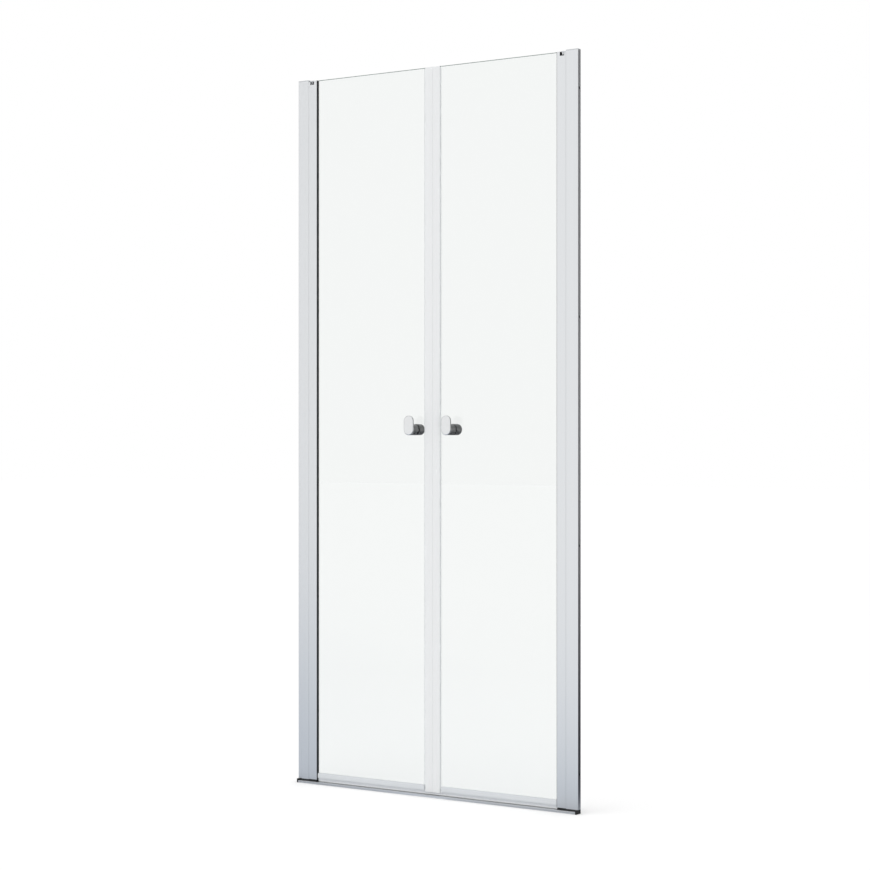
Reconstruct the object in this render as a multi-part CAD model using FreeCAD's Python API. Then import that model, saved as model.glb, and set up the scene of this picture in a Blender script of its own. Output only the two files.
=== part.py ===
import FreeCAD, Part
import os
from math import sin, tan

os.makedirs("parts", exist_ok=True)

# All lengths are in millimetres. X runs along the opening, -Y faces the room, +Z is up.
# The origin is on the threshold's underside, midway between the walls and below the glass.

# Door as a whole
opening_width = 900.0
overall_height = 1950.0
frame_depth = 14.0
glass_thickness = 6.0

# Threshold rail
rail_reach = 8.0
rail_height = 6.0
rail_wall = 1.6
rail_nose_radius = 0.8
rail_back_radius = 0.8
rail_chamber_count = 3
rail_cap_length = 4.5
rail_cap_clearance = 0.1
rail_plug_length = 8.0
rail_plug_clearance = 0.1

# Wall profile, measured from the wall face inwards
wall_profile_web = 1.8
wall_profile_flange = 1.6
wall_profile_corner = 2.5
wall_hole_radius = 3.0
wall_hole_count = 4
wall_hole_end_distance = 100.0

# Hinge post inside the wall profile
post_length = 19.9
post_slide_clearance = 0.1
post_wall = 1.6
post_corner = 0.5

# Lip seal in the nose of the hinge post
lip_slot_width = 2.0
lip_slot_depth = 1.0
lip_foot_width = 4.0
lip_foot_depth = 1.2
lip_clearance = 0.1

# Screws that go lengthways into the hinge post
port_screw_from_tail = 3.5
port_screw_from_nose = 5.3
port_screw_radius = 1.65
port_screw_head_radius = 3.3
port_screw_head_height = 1.7
port_screw_length = 22.0
screw_clearance = 0.06

# Adjuster screws on the inside face
adjuster_count = 3
adjuster_end_distance = 250.0
adjuster_shank_radius = 1.6
adjuster_shank_length = 5.0
adjuster_head_radius = 3.5
adjuster_head_height = 2.2
adjuster_slot_width = 1.0

# Leaf profile, which turns in the hollow nose of the fixed profiles
pivot_from_wall = 48.0
stile_back_radius = 13.8
nose_clearance = 0.3
stile_width = 28.8
stile_wall = 1.6
stile_corner = 1.0
stile_bore_radius = 4.0
pocket_depth = 9.0
gasket_thickness = 1.0
gasket_proud = 2.2

# Lower pivot
foot_height = 4.5
foot_end_radius = 15.5
foot_floor = 0.5
pivot_radius = 3.0
pivot_clearance = 0.05
press_clearance = 0.03
lower_pin_rise = 24.0
bush_flange_radius = 6.0
bush_flange_thickness = 0.8
thrust_gap = 0.1
pin_tip_chamfer = 0.5

# Upper pivot
top_cap_thickness = 2.0
top_cap_plug_depth = 8.0
top_cap_edge = 0.6
knuckle_thickness = 3.0
knuckle_arm_width = 8.0
knuckle_ring_radius = 5.2
knuckle_shell_drop = 6.0
knuckle_clearance = 0.4
bush_radius = 4.2
bush_spigot_radius = 3.55
bush_gap = 0.5
leaf_top_setback = 3.0
notch_depth = 11.0
notch_reach = 7.0
upper_pin_length = 30.0
upper_pin_rise = 8.0
set_screw_radius = 2.0
set_screw_drop = 15.0
set_screw_setback = 0.4
set_screw_socket = 0.9
set_screw_socket_depth = 1.2

# Seals on the leaf
meeting_gap = 0.6
closing_head_width = 12.5
closing_head_depth = 11.0
closing_bridge = 1.2
closing_grip = 12.8
closing_leg = 0.9
closing_floor_gap = 7.2
seal_leg = 1.2
seal_floor_gap = 2.3
magnet_width = 7.9
magnet_depth = 8.2
magnet_wall = 1.2
magnet_clearance = 0.2
magnet_end_setback = 2.0
glass_floor_gap = 14.3
bottom_grip = 9.9
bottom_bridge = 4.0
bottom_fin_front = 1.2
bottom_fin_back = 0.4
bottom_start_gap = 2.0
bottom_tail_gap = 0.2
drip_reach = 6.6
drip_fall = 3.6
drip_thickness = 1.2

# Knob, one on each leaf
knob_from_middle = 60.0
knob_height = 980.0
knob_diameter = 30.0
knob_tab_height = 52.0
knob_tab_thickness = 6.0
knob_tab_front_edge = 2.0
knob_tab_back_edge = 0.8
knob_standoff = 24.0
knob_rear_length = 28.0
knob_rear_edge = 5.0
knob_edge = 0.5
washer_thickness = 1.0
washer_setback = 1.5
glass_hole_radius = 6.0
stud_radius = 3.0
stud_into_tab = 3.0
stud_into_rear = 16.0

# Positions that follow from the sizes above
half_depth = frame_depth / 2
half_glass = glass_thickness / 2
rail_front = half_depth + rail_reach
foot_top = rail_height + foot_height
profile_top = overall_height - top_cap_thickness
post_top = profile_top - knuckle_thickness
inner_half = half_depth - wall_profile_flange
post_half = inner_half - post_slide_clearance
pivot = pivot_from_wall
nose_radius = stile_back_radius + nose_clearance
post_nose = pivot - nose_radius
post_tail = post_nose - post_length
port_screw_spots = (post_tail + port_screw_from_tail, post_nose - port_screw_from_nose)
port_room = port_screw_radius + screw_clearance + post_wall
cavity_start = port_screw_spots[0] + port_room
cavity_end = port_screw_spots[1] - port_room
stile_back = pivot - stile_back_radius
stile_end = stile_back + stile_width
pocket_floor = stile_end - pocket_depth
stile_bottom = foot_top + thrust_gap + bush_flange_thickness
leaf_top = overall_height - leaf_top_setback
notch_floor = leaf_top - notch_depth
notch_step = post_top - knuckle_clearance
bush_bottom = notch_floor + bush_gap
pocket_half = half_glass + gasket_thickness
glass_edge = pocket_floor + gasket_thickness
glass_bottom = rail_height + glass_floor_gap
seal_bottom = rail_height + seal_floor_gap
closing_bottom = rail_height + closing_floor_gap
seal_half = half_glass + seal_leg
closing_face = -meeting_gap / 2
closing_head = closing_face - closing_head_width
glass_free_edge = closing_head - closing_bridge
closing_back = glass_free_edge - closing_grip
knob_x = -knob_from_middle
sleeve_front = -half_glass - knob_standoff
sleeve_back = -half_glass - washer_thickness
rear_front = half_glass + washer_thickness
knob_radius = knob_diameter / 2


def side_point(u, y):
    # Point on the floor plane, u from the left wall face inwards
    return FreeCAD.Vector(-opening_width / 2 + u, y, 0)


def rail_point(y, z):
    # Point on a plane across the threshold
    return FreeCAD.Vector(0, y, z)


def face_point(x, z):
    # Point on a plane parallel to the glass
    return FreeCAD.Vector(x, 0, z)


def plan_point(x, y):
    # Point on the floor plane, x from the middle of the opening
    return FreeCAD.Vector(x, y, 0)


def corner_points(before, corner, after, radius):
    # Start, middle and end of the arc that rounds one corner
    back = (before - corner).normalize()
    ahead = (after - corner).normalize()
    half = back.getAngle(ahead) / 2
    inward = (back + ahead).normalize()
    reach = radius / tan(half)
    tip = radius / sin(half) - radius
    return corner + back * reach, corner + inward * tip, corner + ahead * reach


def outline(corners, place):
    # Flat face through corners given as (a, b, radius)
    points = [place(a, b) for a, b, radius in corners]
    count = len(points)
    turns = []
    for i in range(count):
        radius = corners[i][2]
        if radius > 0:
            turns.append(corner_points(points[i - 1], points[i], points[(i + 1) % count], radius))
        else:
            turns.append((points[i], None, points[i]))
    edges = []
    for i in range(count):
        start, middle, end = turns[i]
        if middle is not None:
            edges.append(Part.Arc(start, middle, end).toShape())
        following = turns[(i + 1) % count][0]
        if end.distanceToPoint(following) > 1e-6:
            edges.append(Part.makeLine(end, following))
    return Part.Face(Part.Wire(edges))


def upright(corners, bottom, top, place=side_point):
    # Vertical extrusion of a section drawn in plan
    face = outline(corners, place)
    face.translate(FreeCAD.Vector(0, 0, bottom))
    return face.extrude(FreeCAD.Vector(0, 0, top - bottom))


def lengthways(corners, start, end):
    # Extrusion along X of a section drawn across the threshold
    face = outline(corners, rail_point)
    face.translate(FreeCAD.Vector(start, 0, 0))
    return face.extrude(FreeCAD.Vector(end - start, 0, 0))


def bar(start, end, half, bottom, top):
    # Upright rectangular bar, start and end measured from the left wall face
    corners = [(start, -half, 0), (end, -half, 0), (end, half, 0), (start, half, 0)]
    return upright(corners, bottom, top)


def post(radius, u, bottom, top):
    # Upright cylinder at a distance from the left wall face
    spot = side_point(u, 0)
    spot.z = bottom
    return Part.makeCylinder(radius, top - bottom, spot)


def across(radius, x, front, back, z):
    # Cylinder along Y
    return Part.makeCylinder(radius, back - front, FreeCAD.Vector(x, front, z), FreeCAD.Vector(0, 1, 0))


def edges_at(solid, y):
    # Edges that lie wholly in one plane parallel to the glass
    return [e for e in solid.Edges if abs(e.BoundBox.YMin - y) < 0.01 and abs(e.BoundBox.YMax - y) < 0.01]


def edges_at_height(solid, z):
    # Edges that lie wholly at one height
    return [e for e in solid.Edges if abs(e.BoundBox.ZMin - z) < 0.01 and abs(e.BoundBox.ZMax - z) < 0.01]


def save(name, shape):
    shape.exportStep("parts/" + name + ".step")


def save_pair(name, shape):
    # The right-hand piece is the mirror image of the left-hand one
    save(name + "_l", shape)
    save(name + "_r", shape.mirror(FreeCAD.Vector(0, 0, 0), FreeCAD.Vector(1, 0, 0)))


def rail_corners():
    # The rail stands out in front of the profiles and is flush with them at the back
    return [
        (-rail_front, 0, 0),
        (half_depth, 0, 0),
        (half_depth, rail_height, rail_back_radius),
        (-rail_front, rail_height, rail_nose_radius),
    ]


def rail_chambers(start, end, clearance):
    # Chambers of the rail from front to back, made smaller by the clearance
    low = rail_wall + clearance
    high = rail_height - rail_wall - clearance
    front = 2 * rail_wall - rail_front
    back = half_depth - rail_wall
    pitch = (back - front + rail_wall) / rail_chamber_count
    solids = []
    for i in range(rail_chamber_count):
        near = front + i * pitch + clearance
        far = front + (i + 1) * pitch - rail_wall - clearance
        corners = [(near, low, 0), (far, low, 0), (far, high, 0), (near, high, 0)]
        solids.append(lengthways(corners, start, end))
    return solids


def threshold_rail():
    end = opening_width / 2 - rail_cap_length
    rail = lengthways(rail_corners(), -end, end)
    for chamber in rail_chambers(-end - 1, end + 1, 0):
        rail = rail.cut(chamber)
    return rail


def threshold_end_cap():
    start = -opening_width / 2
    end = start + rail_cap_length
    cap = lengthways(rail_corners(), start, end)
    # The front of the cap goes on up to the top of the foot behind it
    foot_front = -half_depth - rail_cap_clearance
    upstand = [
        (-rail_front, 0, 0),
        (foot_front, 0, 0),
        (foot_front, foot_top, 0),
        (-rail_front, foot_top, rail_nose_radius),
    ]
    cap = cap.fuse(lengthways(upstand, start, end))
    for plug in rail_chambers(end - 1, end + rail_plug_length, rail_plug_clearance):
        cap = cap.fuse(plug)
    return cap.removeSplitter()


def wall_hole_heights():
    low = wall_hole_end_distance
    high = overall_height - wall_hole_end_distance
    pitch = (high - low) / (wall_hole_count - 1)
    return [low + i * pitch for i in range(wall_hole_count)]


def adjuster_heights():
    low = adjuster_end_distance
    high = overall_height - adjuster_end_distance
    pitch = (high - low) / (adjuster_count - 1)
    return [low + i * pitch for i in range(adjuster_count)]


def adjuster_spot():
    return -opening_width / 2 + (cavity_start + cavity_end) / 2


def nose_cylinder(bottom, top):
    # Space in which the round back of the leaf profile turns
    return post(nose_radius, pivot, bottom - 1, top + 1)


def wall_profile():
    corners = [
        (0, -half_depth, wall_profile_corner),
        (pivot, -half_depth, 0),
        (pivot, -inner_half, 0),
        (wall_profile_web, -inner_half, 0),
        (wall_profile_web, inner_half, 0),
        (pivot, inner_half, 0),
        (pivot, half_depth, 0),
        (0, half_depth, wall_profile_corner),
    ]
    profile = upright(corners, foot_top, profile_top)
    profile = profile.cut(nose_cylinder(foot_top, profile_top))
    for z in wall_hole_heights():
        start = side_point(-1, 0)
        start.z = z
        hole = Part.makeCylinder(wall_hole_radius, wall_profile_web + 2, start, FreeCAD.Vector(1, 0, 0))
        profile = profile.cut(hole)
    for z in adjuster_heights():
        radius = adjuster_shank_radius + screw_clearance
        profile = profile.cut(across(radius, adjuster_spot(), 0, half_depth + 1, z))
    return profile


def lip_slot_corners():
    mouth = lip_slot_width / 2
    room = lip_foot_width / 2
    step = post_nose - lip_slot_depth
    deep = step - lip_foot_depth
    return [
        (deep, -room, 0),
        (step, -room, 0),
        (step, -mouth, 0),
        (post_nose + 1, -mouth, 0),
        (post_nose + 1, mouth, 0),
        (step, mouth, 0),
        (step, room, 0),
        (deep, room, 0),
    ]


def hinge_post():
    corners = [
        (post_tail, -post_half, post_corner),
        (pivot, -post_half, 0),
        (pivot, post_half, 0),
        (post_tail, post_half, post_corner),
    ]
    body = upright(corners, foot_top, post_top)
    body = body.cut(nose_cylinder(foot_top, post_top))
    body = body.cut(bar(cavity_start, cavity_end, post_half - post_wall, foot_top - 1, post_top + 1))
    body = body.cut(upright(lip_slot_corners(), foot_top - 1, post_top + 1))
    for u in port_screw_spots:
        body = body.cut(post(port_screw_radius + screw_clearance, u, foot_top - 1, post_top + 1))
    for z in adjuster_heights():
        radius = adjuster_shank_radius + screw_clearance
        body = body.cut(across(radius, adjuster_spot(), 0, half_depth, z))
    return body


def hinge_lip_seal():
    stem = lip_slot_width / 2 - lip_clearance
    foot = lip_foot_width / 2 - lip_clearance
    step = post_nose - lip_slot_depth - lip_clearance
    deep = step - lip_foot_depth + 2 * lip_clearance
    corners = [
        (deep, -foot, 0),
        (step, -foot, 0),
        (step, -stem, 0),
        (post_nose, -stem, 0),
        (post_nose, stem, 0),
        (step, stem, 0),
        (step, foot, 0),
        (deep, foot, 0),
    ]
    return upright(corners, foot_top, post_top)


def port_screw(u, head_face, inward, grow):
    # Countersunk screw into a port of the post; inward is +1 when it points up
    spot = side_point(u, 0)
    spot.z = head_face
    direction = FreeCAD.Vector(0, 0, inward)
    shank = Part.makeCylinder(port_screw_radius + grow, port_screw_length, spot, direction)
    wide = port_screw_head_radius + grow
    narrow = port_screw_radius + grow
    head = Part.makeCone(wide, narrow, port_screw_head_height, spot, direction)
    return shank.fuse(head).removeSplitter()


def port_screws(head_face, inward):
    return Part.makeCompound([port_screw(u, head_face, inward, 0) for u in port_screw_spots])


def adjuster_screws():
    solids = []
    for z in adjuster_heights():
        x = adjuster_spot()
        shank = across(adjuster_shank_radius, x, half_depth - adjuster_shank_length, half_depth, z)
        head = across(adjuster_head_radius, x, half_depth, half_depth + adjuster_head_height, z)
        head = head.makeChamfer(adjuster_head_height / 2, edges_at(head, half_depth + adjuster_head_height))
        corner = FreeCAD.Vector(
            x - adjuster_head_radius, half_depth + adjuster_head_height / 2, z - adjuster_slot_width / 2
        )
        slot = Part.makeBox(2 * adjuster_head_radius, adjuster_head_height, adjuster_slot_width, corner)
        solids.append(shank.fuse(head).cut(slot).removeSplitter())
    return Part.makeCompound(solids)


def top_cap():
    corners = [
        (0, -half_depth, wall_profile_corner),
        (pivot, -half_depth, 0),
        (pivot, half_depth, 0),
        (0, half_depth, wall_profile_corner),
    ]
    plate = upright(corners, profile_top, overall_height)
    plate = plate.cut(nose_cylinder(profile_top, overall_height))
    plate = plate.makeChamfer(top_cap_edge, edges_at_height(plate, overall_height))
    start = wall_profile_web + post_slide_clearance
    plug = bar(start, post_tail - 1, post_half, profile_top - top_cap_plug_depth, profile_top)
    return plate.fuse(plug).removeSplitter()


def pivot_foot():
    corners = [
        (0, -half_depth, wall_profile_corner),
        (pivot, -half_depth, 0),
        (pivot, half_depth, 0),
        (0, half_depth, wall_profile_corner),
    ]
    foot = upright(corners, rail_height, foot_top)
    disc = post(foot_end_radius, pivot, rail_height, foot_top)
    tongue = bar(pivot, pivot + foot_end_radius, half_depth, rail_height, foot_top)
    foot = foot.fuse(disc.common(tongue)).removeSplitter()
    foot = foot.cut(post(pivot_radius + press_clearance, pivot, rail_height + foot_floor, foot_top + 1))
    for u in port_screw_spots:
        foot = foot.cut(port_screw(u, rail_height, 1, screw_clearance))
    return foot


def lower_pivot_pin():
    top = foot_top + lower_pin_rise
    pin = post(pivot_radius, pivot, rail_height + foot_floor, top)
    return pin.makeChamfer(pin_tip_chamfer, edges_at_height(pin, top))


def knuckle_shell():
    # Half shell on the wall side of the bush, below the ring
    low = post_top - knuckle_shell_drop
    shell = post(knuckle_ring_radius, pivot, low, post_top)
    shell = shell.cut(post(bush_radius + press_clearance, pivot, low - 1, post_top + 1))
    return shell.common(bar(stile_back, pivot, half_depth, low, post_top))


def upper_knuckle():
    tail = bar(post_tail, post_nose, post_half, post_top, profile_top)
    arm = bar(post_nose, pivot, knuckle_arm_width / 2, post_top, profile_top)
    ring = post(knuckle_ring_radius, pivot, post_top, profile_top)
    knuckle = tail.fuse(arm).fuse(ring).fuse(knuckle_shell()).removeSplitter()
    hole = bush_spigot_radius + press_clearance
    knuckle = knuckle.cut(post(hole, pivot, post_top - 1, profile_top + 1))
    for u in port_screw_spots:
        knuckle = knuckle.cut(port_screw(u, profile_top, -1, screw_clearance))
    return knuckle


def upper_bush():
    body = post(bush_radius, pivot, bush_bottom, post_top)
    spigot = post(bush_spigot_radius, pivot, post_top, profile_top)
    pin_top = notch_floor + upper_pin_rise
    hole = post(pivot_radius + pivot_clearance, pivot, bush_bottom - 1, pin_top + pin_tip_chamfer)
    return body.fuse(spigot).removeSplitter().cut(hole)


def leaf_profile():
    corners = [
        (pivot, -half_depth, 0),
        (stile_end, -half_depth, stile_corner),
        (stile_end, half_depth, stile_corner),
        (pivot, half_depth, 0),
    ]
    front = upright(corners, stile_bottom, leaf_top)
    barrel = post(stile_back_radius, pivot, stile_bottom, leaf_top)
    back = barrel.common(bar(stile_back - 1, pivot, half_depth, stile_bottom, leaf_top))
    profile = front.fuse(back).removeSplitter()
    profile = profile.cut(post(stile_bore_radius, pivot, stile_bottom - 1, leaf_top + 1))
    profile = profile.cut(bar(pocket_floor, stile_end + 1, pocket_half, stile_bottom - 1, leaf_top + 1))
    chamber_start = stile_back + 2 * stile_wall
    chamber_end = pivot - stile_bore_radius - stile_wall
    chamber_half = half_depth - stile_wall
    profile = profile.cut(bar(chamber_start, chamber_end, chamber_half, stile_bottom - 1, leaf_top + 1))
    # The notch leaves room for the bush, and above it for the arm that carries the bush
    profile = profile.cut(bar(pivot - notch_reach, pocket_floor, half_depth + 1, notch_floor, leaf_top + 1))
    profile = profile.cut(bar(stile_back - 1, pocket_floor, half_depth + 1, notch_step, leaf_top + 1))
    x = -opening_width / 2 + pivot
    screw = set_screw_radius + screw_clearance
    return profile.cut(across(screw, x, 0, half_depth + 1, notch_floor - set_screw_drop))


def glazing_gasket():
    tip = stile_end + gasket_proud
    corners = [
        (pocket_floor, -pocket_half, 0),
        (tip, -pocket_half, 0),
        (tip, -half_glass, 0),
        (glass_edge, -half_glass, 0),
        (glass_edge, half_glass, 0),
        (tip, half_glass, 0),
        (tip, pocket_half, 0),
        (pocket_floor, pocket_half, 0),
    ]
    return upright(corners, stile_bottom, leaf_top)


def upper_pivot_pin():
    body = post(stile_bore_radius - press_clearance, pivot, notch_floor - upper_pin_length, notch_floor)
    top = notch_floor + upper_pin_rise
    tip = post(pivot_radius, pivot, notch_floor, top)
    tip = tip.makeChamfer(pin_tip_chamfer, edges_at_height(tip, top))
    return body.fuse(tip).removeSplitter()


def pin_set_screw():
    x = -opening_width / 2 + pivot
    z = notch_floor - set_screw_drop
    outer = half_depth - set_screw_setback
    screw = across(set_screw_radius, x, stile_bore_radius, outer, z)
    return screw.cut(across(set_screw_socket, x, outer - set_screw_socket_depth, outer + 1, z))


def lower_bush():
    top = foot_top + lower_pin_rise + 1
    low = foot_top + thrust_gap
    body = post(stile_bore_radius - press_clearance, pivot, stile_bottom, top)
    flange = post(bush_flange_radius, pivot, low, stile_bottom)
    hole = post(pivot_radius + pivot_clearance, pivot, low - 1, top + 1)
    return body.fuse(flange).removeSplitter().cut(hole)


def glass_pane():
    start = -opening_width / 2 + glass_edge
    corners = [
        (start, -half_glass, 0),
        (glass_free_edge, -half_glass, 0),
        (glass_free_edge, half_glass, 0),
        (start, half_glass, 0),
    ]
    pane = upright(corners, glass_bottom, leaf_top, plan_point)
    return pane.cut(across(glass_hole_radius, knob_x, -half_glass - 1, half_glass + 1, knob_height))


def closing_seal():
    # The two legs taper from the head to thin lips on the glass
    head = closing_head_depth / 2
    lip = half_glass + closing_leg
    corners = [
        (closing_back, -lip, 0),
        (closing_head, -head, 0),
        (closing_face, -head, 1.0),
        (closing_face, head, 1.0),
        (closing_head, head, 0),
        (closing_back, lip, 0),
        (closing_back, half_glass, 0),
        (glass_free_edge, half_glass, 0),
        (glass_free_edge, -half_glass, 0),
        (closing_back, -half_glass, 0),
    ]
    seal = upright(corners, closing_bottom, leaf_top, plan_point)
    return seal.cut(magnet_block(magnet_clearance, closing_bottom - 1, leaf_top + 1))


def magnet_block(grow, bottom, top):
    # Space of the magnet strip, made larger by grow for the chamber around it
    near = closing_face - magnet_wall - magnet_clearance + grow
    far = near - magnet_width - 2 * grow
    half = magnet_depth / 2 + grow
    corners = [(far, -half, 0), (near, -half, 0), (near, half, 0), (far, half, 0)]
    return upright(corners, bottom, top, plan_point)


def magnet_strip():
    return magnet_block(0, closing_bottom + magnet_end_setback, leaf_top - magnet_end_setback)


def bottom_seal():
    top = glass_bottom + bottom_grip
    low = glass_bottom - bottom_bridge
    drip_root = low + drip_thickness
    drip_tip = seal_half + drip_reach
    corners = [
        (-seal_half, top, 0.5),
        (-half_glass, top, 0),
        (-half_glass, glass_bottom, 0),
        (half_glass, glass_bottom, 0),
        (half_glass, top, 0),
        (seal_half, top, 0.5),
        (seal_half, drip_root, 0),
        (drip_tip, drip_root - drip_fall, 0.3),
        (drip_tip, low - drip_fall, 0.3),
        (seal_half, low, 0),
        (bottom_fin_back, low, 0),
        (bottom_fin_back, seal_bottom, 0),
        (-bottom_fin_front, seal_bottom, 0),
        (-bottom_fin_front, low, 0),
        (-seal_half, low, 0.5),
    ]
    start = -opening_width / 2 + pivot + foot_end_radius + bottom_start_gap
    seal = lengthways(corners, start, closing_back)
    # The fin goes on below the closing seal to the middle of the opening
    tail_top = closing_bottom - bottom_tail_gap
    tail = [
        (-bottom_fin_front, seal_bottom, 0),
        (bottom_fin_back, seal_bottom, 0),
        (bottom_fin_back, tail_top, 0),
        (-bottom_fin_front, tail_top, 0),
    ]
    return seal.fuse(lengthways(tail, closing_back, closing_face)).removeSplitter()


def stud_hole(front, back):
    return across(stud_radius + press_clearance, knob_x, front, back, knob_height)


def knob_tab():
    low = knob_height - knob_radius
    high = low + knob_tab_height
    corners = [
        (knob_x - knob_radius, low, knob_radius),
        (knob_x + knob_radius, low, knob_radius),
        (knob_x + knob_radius, high, knob_radius),
        (knob_x - knob_radius, high, knob_radius),
    ]
    face = outline(corners, face_point)
    front = sleeve_front - knob_tab_thickness
    face.translate(FreeCAD.Vector(0, front, 0))
    tab = face.extrude(FreeCAD.Vector(0, knob_tab_thickness, 0))
    tab = tab.makeFillet(knob_tab_front_edge, edges_at(tab, front))
    tab = tab.makeChamfer(knob_tab_back_edge, edges_at(tab, sleeve_front))
    return tab.cut(stud_hole(sleeve_front - stud_into_tab, sleeve_front + 1))


def knob_sleeve():
    sleeve = across(knob_radius, knob_x, sleeve_front, sleeve_back, knob_height)
    sleeve = sleeve.makeChamfer(knob_edge, edges_at(sleeve, sleeve_back))
    return sleeve.cut(stud_hole(sleeve_front - 1, sleeve_back + 1))


def knob_rear():
    back = rear_front + knob_rear_length
    knob = across(knob_radius, knob_x, rear_front, back, knob_height)
    knob = knob.makeFillet(knob_rear_edge, edges_at(knob, back))
    knob = knob.makeChamfer(knob_edge, edges_at(knob, rear_front))
    return knob.cut(stud_hole(rear_front - 1, rear_front + stud_into_rear))


def knob_stud():
    front = sleeve_front - stud_into_tab
    return across(stud_radius, knob_x, front, rear_front + stud_into_rear, knob_height)


def knob_washers():
    # Each washer has a collar that keeps the stud off the glass
    radius = knob_radius - washer_setback
    collar = glass_hole_radius - screw_clearance
    hole = stud_hole(sleeve_back - 1, rear_front + 1)
    front = across(radius, knob_x, sleeve_back, -half_glass, knob_height)
    front = front.fuse(across(collar, knob_x, -half_glass, 0, knob_height)).removeSplitter()
    back = across(radius, knob_x, half_glass, rear_front, knob_height)
    back = back.fuse(across(collar, knob_x, 0, half_glass, knob_height)).removeSplitter()
    return Part.makeCompound([front.cut(hole), back.cut(hole)])


# Fixed frame
save("threshold_rail", threshold_rail())
save_pair("threshold_end_cap", threshold_end_cap())
save_pair("wall_profile", wall_profile())
save_pair("hinge_post", hinge_post())
save_pair("hinge_lip_seal", hinge_lip_seal())
save_pair("top_cap", top_cap())
save_pair("adjuster_screws", adjuster_screws())
save_pair("pivot_foot", pivot_foot())
save_pair("foot_screws", port_screws(rail_height, 1))
save_pair("lower_pivot_pin", lower_pivot_pin())
save_pair("upper_knuckle", upper_knuckle())
save_pair("knuckle_screws", port_screws(profile_top, -1))
save_pair("upper_bush", upper_bush())

# Leaves
save_pair("glass", glass_pane())
save_pair("leaf_profile", leaf_profile())
save_pair("glazing_gasket", glazing_gasket())
save_pair("upper_pivot_pin", upper_pivot_pin())
save_pair("pin_set_screw", pin_set_screw())
save_pair("lower_bush", lower_bush())
save_pair("closing_seal", closing_seal())
save_pair("magnet_strip", magnet_strip())
save_pair("bottom_seal", bottom_seal())
save_pair("knob_tab", knob_tab())
save_pair("knob_sleeve", knob_sleeve())
save_pair("knob_rear", knob_rear())
save_pair("knob_stud", knob_stud())
save_pair("knob_washers", knob_washers())
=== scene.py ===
from math import asin, cos, degrees, radians, sin, tan

import bmesh
import bpy
from mathutils import Matrix, Vector


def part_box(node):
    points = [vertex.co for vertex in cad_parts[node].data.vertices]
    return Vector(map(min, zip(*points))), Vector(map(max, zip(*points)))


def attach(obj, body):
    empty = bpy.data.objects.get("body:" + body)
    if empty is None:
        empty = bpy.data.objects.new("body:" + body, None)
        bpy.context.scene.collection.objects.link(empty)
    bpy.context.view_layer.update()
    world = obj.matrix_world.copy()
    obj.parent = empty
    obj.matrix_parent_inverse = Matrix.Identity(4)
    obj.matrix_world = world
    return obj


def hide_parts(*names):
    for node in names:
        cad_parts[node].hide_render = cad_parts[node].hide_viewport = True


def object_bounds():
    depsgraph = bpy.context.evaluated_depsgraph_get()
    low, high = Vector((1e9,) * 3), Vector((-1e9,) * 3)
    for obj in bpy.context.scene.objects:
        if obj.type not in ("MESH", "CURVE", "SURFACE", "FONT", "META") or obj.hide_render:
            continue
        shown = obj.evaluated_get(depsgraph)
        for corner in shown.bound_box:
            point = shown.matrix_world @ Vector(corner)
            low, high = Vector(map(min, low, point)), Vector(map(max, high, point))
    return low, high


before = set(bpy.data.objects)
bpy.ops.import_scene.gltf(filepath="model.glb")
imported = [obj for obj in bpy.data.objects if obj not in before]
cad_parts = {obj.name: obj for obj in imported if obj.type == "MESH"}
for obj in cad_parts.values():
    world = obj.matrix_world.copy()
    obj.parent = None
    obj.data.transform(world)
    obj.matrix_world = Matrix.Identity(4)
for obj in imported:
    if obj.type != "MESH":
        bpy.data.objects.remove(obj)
cad_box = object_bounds()


# Threshold rail
# Flat hollow bar of extruded aluminium with a square front and lightly broken edges. It is
# silver anodised, lies on the shower tray across the whole opening and is bonded down.

MM = 0.001
CREASE = 30
PATTERN_LOW, PATTERN_HIGH = 0.3, 0.7
RAIL_EDGE = 0.8
RAIL_FOOT_EDGE = 0.3
RAIL_WALL = 1.6
RAIL_CHAMBERS = 3
RAIL_CHAMBER_CORNER = 0.3
SAWN_EDGE = 0.15


def linear(hex_colour):
    """Linear colour of an sRGB hex value."""
    channels = [int(hex_colour[i:i + 2], 16) / 255 for i in (1, 3, 5)]
    return tuple(c / 12.92 if c <= 0.04045 else ((c + 0.055) / 1.055) ** 2.4
                 for c in channels) + (1.0,)


def add_node(tree, kind, inputs=None, **settings):
    """Node with its settings; an input is a plain value or the socket that it is linked to."""
    node = tree.nodes.new(kind)
    for name, value in settings.items():
        setattr(node, name, value)
    for name, value in (inputs or {}).items():
        if isinstance(value, bpy.types.NodeSocket):
            tree.links.new(value, node.inputs[name])
        else:
            node.inputs[name].default_value = value
    return node


def new_material(name, **constants):
    """Material with one surface shader, whose even values are set on the shader itself."""
    material = bpy.data.materials.new(name)
    material.use_nodes = True
    shader = material.node_tree.nodes["Principled BSDF"]
    for socket, value in constants.items():
        shader.inputs[socket.replace("_", " ")].default_value = value
    return material, material.node_tree, shader


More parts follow.
